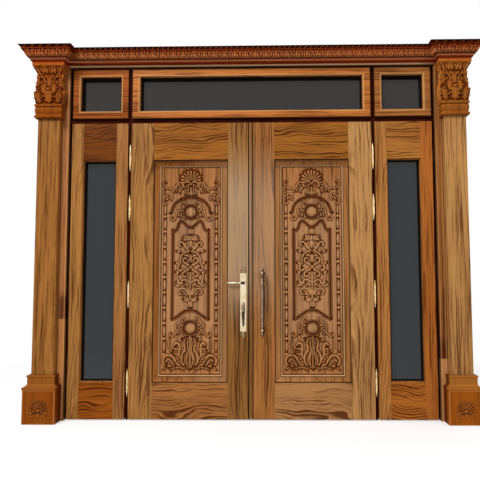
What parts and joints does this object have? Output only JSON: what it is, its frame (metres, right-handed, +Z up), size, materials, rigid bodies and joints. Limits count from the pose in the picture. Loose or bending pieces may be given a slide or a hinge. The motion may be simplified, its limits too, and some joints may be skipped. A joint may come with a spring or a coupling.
{
  "type": "four-leaf wooden door",
  "caption": "Wooden entrance door with its frame: a pair of carved main leaves between narrow glazed side leaves, fixed lights above, carved pilasters and cornice.",
  "frame": {"origin": "middle of the footprint, on the floor", "axes": "+X to the right seen from outside, +Y into the building, +Z up"},
  "size_m": [3.386, 0.309, 2.73],
  "materials": {
    "teak_main": "satin varnished straight-grained hardwood",
    "teak_side": "satin varnished hardwood, redder",
    "teak_frame": "satin varnished hardwood, dark",
    "teak_pilaster": "satin varnished hardwood",
    "carved_wood": "varnished carved hardwood, dark in the hollows",
    "cornice_wood": "varnished carved hardwood, reddish",
    "clear_glass": "clear pane",
    "bright_brass": "polished",
    "pale_brass": "satin",
    "antique_brass": "antique",
    "dark_bronze": "dark bronze",
    "steel": "brushed"
  },
  "bodies": {
    "frame": {"left_jamb": "teak_frame", "right_jamb": "teak_frame", "frame_head": "teak_frame", "left_mullion": "teak_frame", "right_mullion": "teak_frame", "transom_bar": "teak_frame", "left_casing": "teak_side", "right_casing": "teak_side", "head_casing": "teak_side", "left_pedestal": "teak_pilaster", "left_shaft": "teak_pilaster", "left_capital": "carved_wood", "right_pedestal": "teak_pilaster", "right_shaft": "teak_pilaster", "right_capital": "carved_wood", "cornice_left_block": "cornice_wood", "cornice_centre": "cornice_wood", "cornice_right_block": "cornice_wood", "left_transom_sash": "teak_side", "left_transom_glass": "clear_glass", "centre_transom_sash": "teak_side", "centre_transom_glass": "clear_glass", "right_transom_sash": "teak_side", "right_transom_glass": "clear_glass", "main_hinge_frame_parts": "bright_brass", "side_hinge_frame_parts": "dark_bronze"},
    "left_main_leaf": {"left_main_hinge_stile": "teak_main", "left_meeting_stile": "teak_main", "left_main_top_rail": "teak_main", "left_main_bottom_rail": "teak_main", "left_main_panel": "carved_wood", "left_main_panel_moulding": "teak_main", "left_main_hinge_leaf_parts": "bright_brass", "handle_plate": "pale_brass", "grip": "antique_brass", "lock_case": "steel"},
    "right_main_leaf": {"right_main_hinge_stile": "teak_main", "right_meeting_stile": "teak_main", "right_main_top_rail": "teak_main", "right_main_bottom_rail": "teak_main", "right_main_panel": "carved_wood", "right_main_panel_moulding": "teak_main", "right_main_hinge_leaf_parts": "bright_brass", "pull": "antique_brass"},
    "left_side_leaf": {"left_side_hinge_stile": "teak_side", "left_side_lock_stile": "teak_side", "left_side_top_rail": "teak_side", "left_side_bottom_rail": "teak_side", "left_side_glazing_bead": "teak_side", "left_side_glass": "clear_glass", "left_side_hinge_leaf_parts": "dark_bronze"},
    "right_side_leaf": {"right_side_hinge_stile": "teak_side", "right_side_lock_stile": "teak_side", "right_side_top_rail": "teak_side", "right_side_bottom_rail": "teak_side", "right_side_glazing_bead": "teak_side", "right_side_glass": "clear_glass", "right_side_hinge_leaf_parts": "dark_bronze"},
    "lever": {"lever": "pale_brass"},
    "lock_bolt": {"lock_bolt": "steel"}
  },
  "joints": [
    {"name": "left_main_swing", "type": "hinge", "parent": "frame", "child": "left_main_leaf", "pos_m": [-0.904, 0.0245, 1.1], "axis": [0, 0, -1], "range_deg": [0, 105]},
    {"name": "right_main_swing", "type": "hinge", "parent": "frame", "child": "right_main_leaf", "pos_m": [0.904, 0.0245, 1.1], "axis": [0, 0, 1], "range_deg": [0, 105]},
    {"name": "left_side_swing", "type": "hinge", "parent": "frame", "child": "left_side_leaf", "pos_m": [-1.352, 0.032, 1.1], "axis": [0, 0, -1], "range_deg": [0, 90]},
    {"name": "right_side_swing", "type": "hinge", "parent": "frame", "child": "right_side_leaf", "pos_m": [1.352, 0.032, 1.1], "axis": [0, 0, 1], "range_deg": [0, 90]},
    {"name": "lever_turn", "type": "hinge", "parent": "left_main_leaf", "child": "lever", "pos_m": [-0.057, 0.0245, 0.99], "axis": [0, 1, 0], "range_deg": [0, 45]},
    {"name": "bolt_throw", "type": "slide", "parent": "left_main_leaf", "child": "lock_bolt", "axis": [1, 0, 0], "range_m": [0, 0.02]}
  ],
  "couplings": [
    {"joint": "bolt_throw", "follows": "lever_turn", "m_per_rad": 0.02534}
  ]
}
